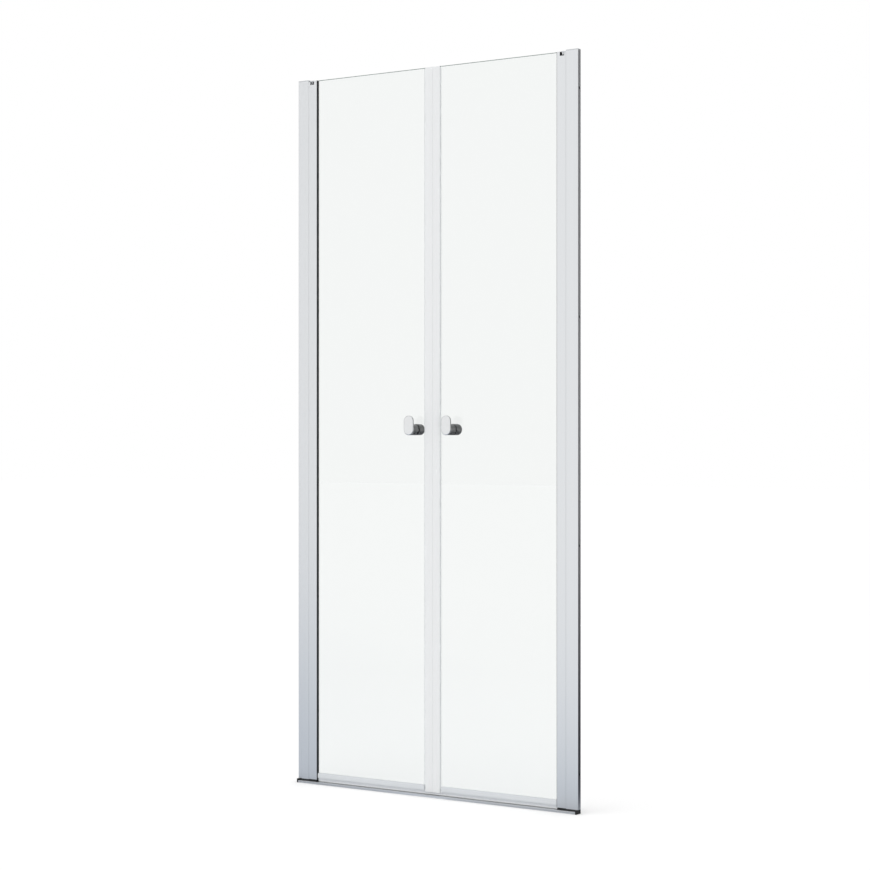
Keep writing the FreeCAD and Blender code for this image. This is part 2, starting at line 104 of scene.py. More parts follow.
def patterned(name, grain, tones=None, roughness=None, detail=2.0, breakup=0.5, run=None,
              length=None, cloud=None, relief=None, **constants):
    """Material with a noise pattern whose grain has a real size in mm. The pattern moves between
    two tones and between two roughness values. Along the axis run it is drawn out to a length,
    a cloud gives the tones a coarser pattern of their own, and relief is the strength and the
    height of a bump."""
    material, tree, shader = new_material(name, **constants)
    scale = [1 / (grain * MM)] * 3
    if run is not None:
        scale[run] = 1 / (length * MM)
    coordinates = add_node(tree, "ShaderNodeTexCoord").outputs["Object"]
    stretch = add_node(tree, "ShaderNodeMapping", {"Vector": coordinates, "Scale": scale})
    pattern = add_node(tree, "ShaderNodeTexNoise",
                       {"Vector": stretch.outputs["Vector"], "Scale": 1.0, "Detail": detail,
                        "Roughness": breakup})
    if tones:
        tint = pattern
        if cloud:
            tint = add_node(tree, "ShaderNodeTexNoise",
                            {"Vector": coordinates, "Scale": 1 / (cloud * MM), "Detail": detail})
        tone = add_node(tree, "ShaderNodeMix",
                        {0: tint.outputs["Fac"], 6: linear(tones[0]), 7: linear(tones[1])},
                        data_type="RGBA")
        tree.links.new(tone.outputs[2], shader.inputs["Base Color"])
    if roughness:
        gloss = add_node(tree, "ShaderNodeMapRange",
                         {"Value": pattern.outputs["Fac"],
                          "From Min": PATTERN_LOW, "From Max": PATTERN_HIGH,
                          "To Min": roughness[0], "To Max": roughness[1]})
        tree.links.new(gloss.outputs["Result"], shader.inputs["Roughness"])
    if relief:
        bump = add_node(tree, "ShaderNodeBump",
                        {"Height": pattern.outputs["Fac"], "Strength": relief[0],
                         "Distance": relief[1] * MM})
        tree.links.new(bump.outputs["Normal"], shader.inputs["Normal"])
    return material


def anodised_aluminium(name, run):
    """Extruded aluminium, etched matt and silver anodised: an even satin grey with faint draw
    lines along the length. The real lines are under 1 mm apart and are drawn 4 mm wide here,
    because finer ones would not show."""
    return patterned(name, 4.0, ("#DFE1E3", "#E3E5E7"), (0.27, 0.31), detail=4.0, breakup=0.65,
                     run=run, length=900.0, relief=(0.03, 0.05), Metallic=1.0)


def rounded(corners, steps=5):
    """Closed outline through corners given as (a, b, radius)."""
    points = []
    for i, (a, b, radius) in enumerate(corners):
        corner = Vector((a, b))
        if radius == 0:
            points.append((a, b))
            continue
        back = (Vector(corners[i - 1][:2]) - corner).normalized()
        ahead = (Vector(corners[(i + 1) % len(corners)][:2]) - corner).normalized()
        half = back.angle(ahead) / 2
        centre = corner + (back + ahead).normalized() * (radius / sin(half))
        start = corner + back * (radius / tan(half)) - centre
        turn = start.angle_signed(corner + ahead * (radius / tan(half)) - centre)
        for k in range(steps + 1):
            spoke = start.copy()
            spoke.rotate(Matrix.Rotation(-turn * k / steps, 2))
            points.append(tuple(centre + spoke))
    return points


def rectangle(near, low, far, high, corner, steps=3):
    """Outline of a rectangle with four equal corners."""
    return rounded([(near, low, corner), (far, low, corner), (far, high, corner),
                    (near, high, corner)], steps)


LENGTHWAYS = {
    "X": Matrix(((0, 0, 1, 0), (1, 0, 0, 0), (0, 1, 0, 0), (0, 0, 0, 1))),
    "Y": Matrix(((1, 0, 0, 0), (0, 0, -1, 0), (0, 1, 0, 0), (0, 0, 0, 1))),
    "Z": Matrix.Identity(4),
}


def clean(mesh):
    """Mesh without doubles, with its faces turned outwards and shaded."""
    work = bmesh.new()
    work.from_mesh(mesh)
    bmesh.ops.remove_doubles(work, verts=work.verts, dist=1e-7)
    bmesh.ops.recalc_face_normals(work, faces=work.faces)
    work.to_mesh(mesh)
    work.free()
    return shaded(mesh)


def linked(name, data):
    """Object in the scene."""
    holder = bpy.data.objects.new(name, data)
    bpy.context.scene.collection.objects.link(holder)
    return holder


def modified(holder):
    """Plain mesh of an object with its modifiers; the object itself goes."""
    evaluated = holder.evaluated_get(bpy.context.evaluated_depsgraph_get())
    mesh = bpy.data.meshes.new_from_object(evaluated)
    bpy.data.objects.remove(holder)
    return mesh


def shaded(mesh):
    """Mesh that is smooth up to the crease angle, with its wide faces kept flat."""
    mesh.shade_smooth()
    mesh.set_sharp_from_angle(angle=radians(CREASE))
    holder = linked("shaded", mesh)
    modifier = holder.modifiers.new("flat", "WEIGHTED_NORMAL")
    modifier.weight = 100
    modifier.keep_sharp = True
    return modified(holder)


def extruded(outlines, start, end, along, ease=0.0):
    """Mesh of a section drawn in mm and drawn out along one axis, with eased end edges.
    The first outline is the outside and the others are hollows. Sections are in (Y, Z) along X,
    in (X, Z) along Y and in (X, Y) along Z."""
    curve = bpy.data.curves.new("section", "CURVE")
    curve.dimensions = "2D"
    curve.fill_mode = "BOTH"
    curve.extrude = ((end - start) / 2 - ease) * MM
    curve.bevel_depth = ease * MM
    curve.bevel_resolution = 1
    curve.offset = -ease * MM
    for outline in outlines:
        spline = curve.splines.new("POLY")
        spline.points.add(len(outline) - 1)
        for point, (a, b) in zip(spline.points, outline):
            point.co = (a * MM, b * MM, 0, 1)
        spline.use_cyclic_u = True
    holder = bpy.data.objects.new("section", curve)
    mesh = bpy.data.meshes.new_from_object(holder)
    bpy.data.objects.remove(holder)
    bpy.data.curves.remove(curve)
    middle = (start + end) / 2 * MM
    shift = {"X": (middle, 0, 0), "Y": (0, middle, 0), "Z": (0, 0, middle)}[along]
    mesh.transform(Matrix.Translation(shift) @ LENGTHWAYS[along])
    return clean(mesh)


def box_mm(node):
    """Lowest and highest corner of a CAD node at rest, in mm."""
    return [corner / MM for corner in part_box(node)]


def place(name, mesh, material, body, slot, *nodes):
    """Object of a finished piece, riding on its body in place of the CAD nodes."""
    mesh.name = name
    mesh.materials.clear()
    mesh.materials.append(material)
    piece = linked(name, mesh)
    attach(piece, body)
    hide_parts(*nodes)
    return piece


rail_aluminium = anodised_aluminium("anodised_aluminium_along_rail", 0)
rail_low, rail_high = box_mm("threshold_rail")
rail_front, rail_back, rail_top = rail_low.y, rail_high.y, rail_high.z
rail_section = rounded([(rail_front, 0, RAIL_FOOT_EDGE), (rail_back, 0, RAIL_FOOT_EDGE),
                        (rail_back, rail_top, RAIL_EDGE), (rail_front, rail_top, RAIL_EDGE)], 8)
chambers_front, chambers_back = rail_front + 2 * RAIL_WALL, rail_back - RAIL_WALL
chamber_pitch = (chambers_back - chambers_front + RAIL_WALL) / RAIL_CHAMBERS
rail_hollows = []
for k in range(RAIL_CHAMBERS):
    near = chambers_front + k * chamber_pitch
    far = near + chamber_pitch - RAIL_WALL
    rail_hollows.append(rectangle(near, RAIL_WALL, far, rail_top - RAIL_WALL,
                                  RAIL_CHAMBER_CORNER, 2))
rail_mesh = extruded([rail_section] + rail_hollows, rail_low.x, rail_high.x, "X", SAWN_EDGE)
place("threshold", rail_mesh, rail_aluminium, "frame", "silver_aluminium", "threshold_rail")


# Threshold end caps
# Black caps of moulded nylon that close both ends of the hollow rail and stand against the wall.
# Plugs hold them in its chambers, and their fronts go up as far as the feet behind them.

HALF_OPENING = 450.0
SIDES = ((-1, "l", "left"), (1, "r", "right"))
CAP_UPSTAND_BACK = -7.1
CAP_UPSTAND_EDGE = 0.6
MOULDED_EDGE = 0.5


def moulded_plastic(name, dark, light):
    """Nylon or ABS from a spark-eroded mould: an even colour with a fine pebbled skin. The
    pebbles are 0.6 mm across, at the coarse end of such skins, so that they show close up."""
    return patterned(name, 0.6, (dark, light), (0.42, 0.56), cloud=25.0, relief=(0.3, 0.05),
                     IOR=1.53)


black_nylon = moulded_plastic("moulded_black_nylon", "#141517", "#1D1E20")
upstand_top = box_mm("threshold_end_cap_l")[1].z
end_cap_section = rounded([(rail_front, 0, RAIL_FOOT_EDGE), (rail_back, 0, RAIL_FOOT_EDGE),
                           (rail_back, rail_top, RAIL_EDGE), (CAP_UPSTAND_BACK, rail_top, 0),
                           (CAP_UPSTAND_BACK, upstand_top, CAP_UPSTAND_EDGE),
                           (rail_front, upstand_top, RAIL_EDGE)], 8)
for side, hand, word in SIDES:
    near, far = sorted((side * rail_high.x, side * HALF_OPENING))
    end_cap_mesh = extruded([end_cap_section], near, far, "X", MOULDED_EDGE)
    place(f"{word}_threshold_cap", end_cap_mesh, black_nylon, "frame", "black_plastic",
          f"threshold_end_cap_{hand}")


# Pivot feet
# Black feet of moulded nylon that stand on the threshold and carry the profiles. The tongue
# under the leaf ends in an arc about the pivot, and a steel pin stands in it.

PIVOT = 48.0
HALF_DEPTH = 7.0
FOOT_REACH = 15.5
PROFILE_CORNER = 1.0


def arc(radius, first, last, steps):
    """Points along an arc about the pivot, angles in degrees from the inward direction."""
    angles = [radians(first + (last - first) * k / steps) for k in range(steps + 1)]
    return [(PIVOT + radius * cos(t), radius * sin(t)) for t in angles]


def arc_corners(radius, first, last, steps):
    """The same points as sharp corners of an outline."""
    return [(u, y, 0) for u, y in arc(radius, first, last, steps)]


def both_faces(front, middle=()):
    """Corners of a section that is the same in front of its middle plane and behind it."""
    return front + list(middle) + [(u, -y, radius) for u, y, radius in reversed(front)]


def on_wall(side, points):
    """Plan section measured from a wall face inwards, set on the left or right wall."""
    return [(side * (HALF_OPENING - u), y) for u, y in points]


def dress(material, *nodes):
    """Finish on CAD nodes whose shape stays."""
    for node in nodes:
        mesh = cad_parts[node].data
        mesh.materials.clear()
        mesh.materials.append(material)


# Turned steel with a bright zinc plating: a cool light grey, speckled where the crystals of the
# zinc lie. The specks vary in roughness, and their lighter tone is painted glint where the
# crystals catch the light. The specks are drawn 0.5 mm wide, because finer ones would not show.
plated_steel = patterned("turned_zinc_plated_steel", 0.5, ("#AEB2B6", "#C9CCCF"), (0.22, 0.36),
                         detail=1.0, Metallic=1.0)
foot_swing = degrees(asin(HALF_DEPTH / FOOT_REACH))
foot_outline = rounded(both_faces([(0, -HALF_DEPTH, PROFILE_CORNER)],
                                  arc_corners(FOOT_REACH, -foot_swing, foot_swing, 18)))
for side, hand, word in SIDES:
    foot_low, foot_high = box_mm(f"pivot_foot_{hand}")
    foot_mesh = extruded([on_wall(side, foot_outline)], foot_low.z, foot_high.z, "Z",
                         MOULDED_EDGE)
    place(f"{word}_pivot_foot", foot_mesh, black_nylon, "frame", "black_plastic",
          f"pivot_foot_{hand}")
    dress(plated_steel, f"lower_pivot_pin_{hand}", f"foot_screws_{hand}")


# Wall profiles
# Extruded U channels of silver anodised aluminium, one screwed to each wall through four holes
# in the web. The two flanges end in a hollow nose in which the round back of the leaf turns.

NOSE_RADIUS = 14.1
PROFILE_WEB = 1.8
PROFILE_FLANGE = 1.6
PROFILE_INNER_CORNER = 0.4
WALL_HOLES = 4
WALL_HOLE_FROM_END = 100.0
WALL_HOLE_RADIUS = 3.0
DRILL_LENGTH = 8.0
DRILL_INSIDE_FACE = 1.0


def about_pivot(radius, first_half, last_half, steps):
    """Arc on the wall side of the pivot between two distances from the middle plane."""
    return arc_corners(radius, 180 - degrees(asin(first_half / radius)),
                       180 - degrees(asin(last_half / radius)), steps)


def new_tree(name, **sockets):
    """Empty geometry tree with named inputs; returns the tree, the inputs and identifiers."""
    tree = bpy.data.node_groups.new(name, "GeometryNodeTree")
    tree.interface.new_socket("Geometry", in_out="INPUT", socket_type="NodeSocketGeometry")
    identifiers = {}
    for socket, kind in sockets.items():
        item = tree.interface.new_socket(socket, in_out="INPUT", socket_type="NodeSocket" + kind)
        identifiers[socket] = item.identifier
    tree.interface.new_socket("Geometry", in_out="OUTPUT", socket_type="NodeSocketGeometry")
    return tree, tree.nodes.new("NodeGroupInput").outputs, identifiers


def grown(mesh, tree, identifiers, **values):
    """Plain mesh of what a geometry tree makes of a start mesh."""
    holder = linked("start", mesh)
    modifier = holder.modifiers.new("grown", "NODES")
    modifier.node_group = tree
    for socket, value in values.items():
        modifier[identifiers[socket]] = value
    return clean(modified(holder))


def upright_row(tree, sizes, start, instance, rotation):
    """Row of equal instances that goes up from its start, as real geometry."""
    offset = add_node(tree, "ShaderNodeCombineXYZ", {"Z": sizes["Pitch"]})
    line = add_node(tree, "GeometryNodeMeshLine",
                    {"Count": sizes["Count"], "Start Location": start.outputs[0],
                     "Offset": offset.outputs[0]}, mode="OFFSET")
    spots = add_node(tree, "GeometryNodeInstanceOnPoints",
                     {"Points": line.outputs[0], "Instance": instance.outputs[0],
                      "Rotation": rotation})
    return add_node(tree, "GeometryNodeRealizeInstances", {"Geometry": spots.outputs[0]})


def end_tree(tree, sizes, shape):
    """End of a geometry tree: real geometry with its material."""
    real = add_node(tree, "GeometryNodeRealizeInstances", {"Geometry": shape.outputs[0]})
    coated = add_node(tree, "GeometryNodeSetMaterial",
                      {"Geometry": real.outputs[0], "Material": sizes["Finish"]})
    add_node(tree, "NodeGroupOutput", {"Geometry": coated.outputs[0]})


profile_aluminium = anodised_aluminium("anodised_aluminium_upright", 2)
drill, sizes, drill_ids = new_tree("wall_holes", Count="Int", Face="Float", First="Float",
                                   Pitch="Float", Radius="Float", Finish="Material")
drill_start = add_node(drill, "ShaderNodeCombineXYZ", {"X": sizes["Face"], "Z": sizes["First"]})
drill_bit = add_node(drill, "GeometryNodeMeshCylinder",
                     {"Vertices": 32, "Radius": sizes["Radius"], "Depth": DRILL_LENGTH * MM})
drill_bits = upright_row(drill, sizes, drill_start, drill_bit, (0, radians(90), 0))
drilled = add_node(drill, "GeometryNodeMeshBoolean",
                   {"Mesh 1": sizes["Geometry"], "Mesh 2": drill_bits.outputs[0]},
                   operation="DIFFERENCE")
end_tree(drill, sizes, drilled)

profile_inner = HALF_DEPTH - PROFILE_FLANGE
profile_outline = rounded(both_faces([(0, -HALF_DEPTH, PROFILE_CORNER)]
                                     + about_pivot(NOSE_RADIUS, -HALF_DEPTH, -profile_inner, 4)
                                     + [(PROFILE_WEB, -profile_inner, PROFILE_INNER_CORNER)]))
overall_top = cad_box[1][2] / MM
hole_pitch = (overall_top - 2 * WALL_HOLE_FROM_END) / (WALL_HOLES - 1)
for side, hand, word in SIDES:
    profile_low, profile_high = box_mm(f"wall_profile_{hand}")
    channel = extruded([on_wall(side, profile_outline)], profile_low.z, profile_high.z, "Z",
                       SAWN_EDGE)
    channel = grown(channel, drill, drill_ids, Count=WALL_HOLES,
                    Face=side * (HALF_OPENING - DRILL_INSIDE_FACE) * MM,
                    First=WALL_HOLE_FROM_END * MM, Pitch=hole_pitch * MM,
                    Radius=WALL_HOLE_RADIUS * MM, Finish=profile_aluminium)
    place(f"{word}_wall_profile", channel, profile_aluminium, "frame", "silver_aluminium",
          f"wall_profile_{hand}")


# Hinge posts and lip seals
# Extruded aluminium posts that slide into the wall profiles to take up uneven walls. A black
# rubber lip in the nose of each post keeps water out of the slit beside the turning leaf.

# Extruded EPDM rubber: matt black with a slightly chalky bloom in soft ripples 1.5 mm wide.
black_rubber = patterned("extruded_black_rubber", 1.5, ("#111213", "#1E1F20"), (0.6, 0.75),
                         detail=3.0, IOR=1.5)
for side, hand, word in SIDES:
    dress(profile_aluminium, f"hinge_post_{hand}")
    dress(black_rubber, f"hinge_lip_seal_{hand}")


# Upper knuckles and bushes
# Die-cast zinc arms screwed on top of the hinge posts. Each ends in a ring with a half shell
# below it, and a black nylon bush hangs in both and holds the upper pivot pin of the leaf.

POST_TAIL, POST_NOSE, POST_HALF = 14.0, 33.9, 5.3
POST_TAIL_CORNER, POST_NOSE_CORNER = 0.5, 0.3
ARM_HALF = 4.0
ARM_THICKNESS = 3.0
ARM_EDGE = 0.25
RING_RADIUS = 5.2
RING_HOLE = 3.58
SHELL_BORE = 4.23
SHELL_EDGE = 0.2
SHELL_IN_ARM = 0.5
BUSH_RADIUS = 4.2
BUSH_EDGE = 0.4
BUSH_BORE = 3.05
BUSH_BORE_DEPTH = 8.0
SPIGOT_RADIUS = 3.55
SPIGOT_EDGE = 0.3


def turned(rings, across, up, axis="Y", stretch=0.0, closed=False, segments=64):
    """Turned mesh in mm from (radius, position along the axis) steps. The centre line passes
    through (across, up); stretch draws the upper half apart from the lower half."""
    work = bmesh.new()
    loops = []
    for radius, along in rings:
        loop = []
        for k in range(segments):
            angle = radians(360 * (k + 0.5) / segments)
            a = across + radius * cos(angle)
            b = up + radius * sin(angle) + (stretch if sin(angle) > 0 else 0)
            spot = (a, along, b) if axis == "Y" else (a, b, along)
            loop.append(work.verts.new(Vector(spot) * MM))
        loops.append(loop)
    for first, second in zip(loops, loops[1:] + (loops[:1] if closed else [])):
        for k in range(segments):
            following = (k + 1) % segments
            work.faces.new((first[k], first[following], second[following], second[k]))
    if not closed:
        work.faces.new(loops[0])
        work.faces.new(loops[-1])
    mesh = bpy.data.meshes.new("turned")
    work.to_mesh(mesh)
    work.free()
    return clean(mesh)


def joined(*meshes):
    """One mesh of several closed ones."""
    work = bmesh.new()
    for mesh in meshes:
        work.from_mesh(mesh)
    result = bpy.data.meshes.new("joined")
    work.to_mesh(result)
    work.free()
    return shaded(result)


def circle(radius):
    """Full circle about the pivot."""
    return arc(radius, 0, 350, 35)


# Die-cast zinc, tumbled and passivated: dull silver with a soft mottle about 3 mm across.
cast_zinc = patterned("tumbled_cast_zinc", 3.0, ("#CDD0D3", "#DDDFE1"), (0.38, 0.5), detail=4.0,
                      Metallic=1.0)
ring_swing = 180 - degrees(asin(ARM_HALF / RING_RADIUS))
knuckle_outline = rounded(both_faces([(POST_TAIL, -POST_HALF, POST_TAIL_CORNER),
                                      (POST_NOSE, -POST_HALF, POST_NOSE_CORNER),
                                      (POST_NOSE, -ARM_HALF, 0)],
                                     arc_corners(RING_RADIUS, -ring_swing, ring_swing, 32)))
shell_outline = arc(RING_RADIUS, 90, 270, 24) + arc(SHELL_BORE, 270, 90, 24)
for side, hand, word in SIDES:
    shell_low, knuckle_high = box_mm(f"upper_knuckle_{hand}")
    arm_low = knuckle_high.z - ARM_THICKNESS
    arm_mesh = extruded([on_wall(side, knuckle_outline), on_wall(side, circle(RING_HOLE))],
                        arm_low, knuckle_high.z, "Z", ARM_EDGE)
    shell_mesh = extruded([on_wall(side, shell_outline)], shell_low.z, arm_low + SHELL_IN_ARM,
                          "Z", SHELL_EDGE)
    place(f"{word}_upper_knuckle", joined(arm_mesh, shell_mesh), cast_zinc, "frame", "cast_zinc",
          f"upper_knuckle_{hand}")
    bush_low, bush_high = box_mm(f"upper_bush_{hand}")
    bush_rings = [(BUSH_BORE, bush_low.z + BUSH_BORE_DEPTH), (BUSH_BORE, bush_low.z),
                  (BUSH_RADIUS - BUSH_EDGE, bush_low.z), (BUSH_RADIUS, bush_low.z + BUSH_EDGE),
                  (BUSH_RADIUS, arm_low), (SPIGOT_RADIUS, arm_low),
                  (SPIGOT_RADIUS, bush_high.z - SPIGOT_EDGE),
                  (SPIGOT_RADIUS - SPIGOT_EDGE, bush_high.z)]
    bush_mesh = turned(bush_rings, side * (HALF_OPENING - PIVOT), 0, "Z")
    place(f"{word}_upper_bush", bush_mesh, black_nylon, "frame", "black_plastic",
          f"upper_bush_{hand}")
    dress(plated_steel, f"knuckle_screws_{hand}")


# Top caps
# Light grey caps of moulded ABS that close the wall profiles at the top. A plug under each is
# pushed into the channel.

grey_abs = moulded_plastic("moulded_light_grey_abs", "#BFC2C5", "#C9CCCF")
top_cap_outline = rounded(both_faces([(0, -HALF_DEPTH, PROFILE_CORNER)],
                                     about_pivot(NOSE_RADIUS, -HALF_DEPTH, HALF_DEPTH, 18)))
for side, hand, word in SIDES:
    top_cap_high = box_mm(f"top_cap_{hand}")[1]
    knuckle_high = box_mm(f"upper_knuckle_{hand}")[1]
    top_cap_mesh = extruded([on_wall(side, top_cap_outline)], knuckle_high.z, top_cap_high.z, "Z",
                            MOULDED_EDGE)
    place(f"{word}_top_cap", top_cap_mesh, grey_abs, "frame", "grey_plastic", f"top_cap_{hand}")


# Adjuster screws
# Zinc-plated screws with domed slotted heads on the shower side, three to a profile. They clamp
# the hinge post at the depth that the wall needs.

ADJUSTERS = 3
ADJUSTER_FROM_END = 250.0
ADJUSTER_HEAD = 3.5
ADJUSTER_RISE = 2.2
ADJUSTER_SLOT = 1.0
ADJUSTER_DEPTH = 1.1
CUTTER_WIDTH = 20.0


def cut_block(tree, shape, size, lift):
    """Shape without what a block takes away; the block's centre is lifted off the origin."""
    form = add_node(tree, "ShaderNodeCombineXYZ", size)
    cube = add_node(tree, "GeometryNodeMeshCube", {"Size": form.outputs[0]})
    offset = add_node(tree, "ShaderNodeCombineXYZ", {"Z": lift.outputs[0]})
    block = add_node(tree, "GeometryNodeTransform",
                     {"Geometry": cube.outputs[0], "Translation": offset.outputs[0]})
    return add_node(tree, "GeometryNodeMeshBoolean",
                    {"Mesh 1": shape.outputs[0], "Mesh 2": block.outputs[0]},
                    operation="DIFFERENCE", solver="EXACT")


screws, sizes, screw_ids = new_tree("slotted_screws", Count="Int", Across="Float", Face="Float",
                                    First="Float", Pitch="Float", Head="Float", Rise="Float",
                                    Slot="Float", Depth="Float", Finish="Material")
screw_start = add_node(screws, "ShaderNodeCombineXYZ",
                       {"X": sizes["Across"], "Y": sizes["Face"], "Z": sizes["First"]})
screw_ball = add_node(screws, "GeometryNodeMeshUVSphere",
                      {"Segments": 40, "Rings": 24, "Radius": 1.0})
screw_form = add_node(screws, "ShaderNodeCombineXYZ",
                      {"X": sizes["Head"], "Y": sizes["Head"], "Z": sizes["Rise"]})
screw_dome = add_node(screws, "GeometryNodeTransform",
                      {"Geometry": screw_ball.outputs[0], "Scale": screw_form.outputs[0]})
block_height = add_node(screws, "ShaderNodeMath", {0: sizes["Rise"], 1: 2.0},
                        operation="MULTIPLY")
block_drop = add_node(screws, "ShaderNodeMath", {0: sizes["Rise"], 1: -1.0},
                      operation="MULTIPLY")
slot_lift = add_node(screws, "ShaderNodeMath",
                     {0: block_height.outputs[0], 1: sizes["Depth"]}, operation="SUBTRACT")
screw_head = cut_block(screws, screw_dome,
                       {"X": CUTTER_WIDTH * MM, "Y": CUTTER_WIDTH * MM,
                        "Z": block_height.outputs[0]}, block_drop)
screw_slotted = cut_block(screws, screw_head,
                          {"X": CUTTER_WIDTH * MM, "Y": sizes["Slot"],
                           "Z": block_height.outputs[0]}, slot_lift)
screw_row = upright_row(screws, sizes, screw_start, screw_slotted, (radians(-90), 0, 0))
end_tree(screws, sizes, screw_row)

screw_pitch = (overall_top - 2 * ADJUSTER_FROM_END) / (ADJUSTERS - 1)
for side, hand, word in SIDES:
    screw_low, screw_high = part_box(f"adjuster_screws_{hand}")
    screw_mesh = grown(bpy.data.meshes.new("start"), screws, screw_ids, Count=ADJUSTERS,
                       Across=(screw_low.x + screw_high.x) / 2, Face=HALF_DEPTH * MM,
                       First=ADJUSTER_FROM_END * MM, Pitch=screw_pitch * MM,
                       Head=ADJUSTER_HEAD * MM, Rise=ADJUSTER_RISE * MM,
                       Slot=ADJUSTER_SLOT * MM, Depth=ADJUSTER_DEPTH * MM, Finish=plated_steel)
    place(f"{word}_adjuster_screws", screw_mesh, plated_steel, "frame", "steel",
          f"adjuster_screws_{hand}")


# Leaf profiles
# Extruded aluminium stiles that hold the glass in a pocket. The back is round about the pivot,
# the bore takes the pivot pins, and a notch at the top leaves room for the bush and its arm.

STILE_BACK_RADIUS = 13.8
STILE_END = 63.0
STILE_END_EDGE = 1.0
STILE_WALL = 1.6
STILE_BORE = 4.0
STILE_CHAMBER_CORNER = 0.5
STILE_SAWN_EDGE = 0.12
POCKET_FLOOR = 54.0
POCKET_HALF = 4.0
POCKET_CORNER = 0.3
NOTCH_START = 41.0
NOTCH_DEPTH = 11.0
NOTCH_STEP = 2.4
NOTCH_OVERCUT, NOTCH_OVERCUT_TOP = 2.0, 5.0
SET_SCREW_HOLE = 2.06
SET_SCREW_DROP = 26.0
SET_SCREW_FROM, SET_SCREW_TO = 2.0, 10.0


def cut_away(mesh, cutter):
    """Mesh with a cutter taken out of it."""
    target, tool = linked("target", mesh), linked("tool", cutter)
    modifier = target.modifiers.new("cut", "BOOLEAN")
    modifier.operation, modifier.solver, modifier.object = "DIFFERENCE", "EXACT", tool
    result = modified(target)
    bpy.data.objects.remove(tool)
    return clean(result)


stile_outline = rounded(both_faces([(STILE_END, -HALF_DEPTH, STILE_END_EDGE),
                                    (STILE_END, -POCKET_HALF, POCKET_CORNER),
                                    (POCKET_FLOOR, -POCKET_HALF, POCKET_CORNER)])
                        + about_pivot(STILE_BACK_RADIUS, HALF_DEPTH, -HALF_DEPTH, 30))
stile_back = PIVOT - STILE_BACK_RADIUS
chamber_half = HALF_DEPTH - STILE_WALL
stile_chamber = rectangle(stile_back + 2 * STILE_WALL, -chamber_half,
                          PIVOT - STILE_BORE - STILE_WALL, chamber_half, STILE_CHAMBER_CORNER)
for side, hand, word in SIDES:
    stile_low, stile_high = box_mm(f"leaf_profile_{hand}")
    stile_sections = [on_wall(side, shape)
                      for shape in (stile_outline, circle(STILE_BORE), stile_chamber)]
    stile_mesh = extruded(stile_sections, stile_low.z, stile_high.z, "Z", STILE_SAWN_EDGE)
    above = stile_high.z + NOTCH_OVERCUT_TOP
    step, notch_floor = stile_high.z - NOTCH_STEP, stile_high.z - NOTCH_DEPTH
    notch = [(stile_back - NOTCH_OVERCUT, step), (NOTCH_START, step), (NOTCH_START, notch_floor),
             (POCKET_FLOOR, notch_floor), (POCKET_FLOOR, above),
             (stile_back - NOTCH_OVERCUT, above)]
    notch_half = HALF_DEPTH + NOTCH_OVERCUT
    notch_cutter = extruded([on_wall(side, notch)], -notch_half, notch_half, "Y")
    stile_mesh = cut_away(stile_mesh, notch_cutter)
    set_screw_bit = turned([(SET_SCREW_HOLE, SET_SCREW_FROM), (SET_SCREW_HOLE, SET_SCREW_TO)],
                           side * (HALF_OPENING - PIVOT), stile_high.z - SET_SCREW_DROP)
    stile_mesh = cut_away(stile_mesh, set_screw_bit)
    place(f"{word}_leaf_profile", stile_mesh, profile_aluminium, f"{word}_leaf",
          "silver_aluminium", f"leaf_profile_{hand}")
    dress(plated_steel, f"upper_pivot_pin_{hand}", f"pin_set_screw_{hand}")
    dress(black_nylon, f"lower_bush_{hand}")


# Glazing gaskets
# Black rubber U channels that sit in the pocket of the leaf profile and grip the glass. Two
# small rounded lips show along the glass.

GLASS_EDGE = 55.0
GLASS_HALF = 3.0
GRIP_HALF = 3.08
GASKET_LIP = 2.2
GASKET_LIP_EDGE = 0.4
GASKET_FLOOR_EDGE = 0.2

gasket_tip = STILE_END + GASKET_LIP
gasket_outline = rounded(both_faces([(POCKET_FLOOR, -POCKET_HALF, GASKET_FLOOR_EDGE),
                                     (gasket_tip, -POCKET_HALF, GASKET_LIP_EDGE),
                                     (gasket_tip, -GRIP_HALF, GASKET_LIP_EDGE),
                                     (GLASS_EDGE, -GRIP_HALF, 0)]), 4)
for side, hand, word in SIDES:
    gasket_low, gasket_high = box_mm(f"glazing_gasket_{hand}")
    gasket_mesh = extruded([on_wall(side, gasket_outline)], gasket_low.z, gasket_high.z, "Z")
    place(f"{word}_glazing_gasket", gasket_mesh, black_rubber, f"{word}_leaf", "black_rubber",
          f"glazing_gasket_{hand}")


# Glass panes
# Toughened clear float glass, 6 mm thick, with ground and polished edges, rounded corners and
# one hole for the knob. Each pane is held in its leaf profile by the gasket.

GLASS_ARRIS = 1.3
PANE_CORNER = 1.5
PANE_FACE = 0.97
KNOB_FROM_MIDDLE = 60.0
KNOB_HEIGHT = 980.0
GLASS_HOLE = 6.0

# Toughened float glass: clear and nearly colourless, with the slow roller wave that toughening
# leaves, about 250 mm from crest to crest.
clear_glass = patterned("toughened_clear_float_glass", 250.0, detail=0.0, relief=(0.05, 0.2),
                        IOR=1.52, Transmission_Weight=1.0, Roughness=0.0,
                        Base_Color=linear("#F4F6F5"))
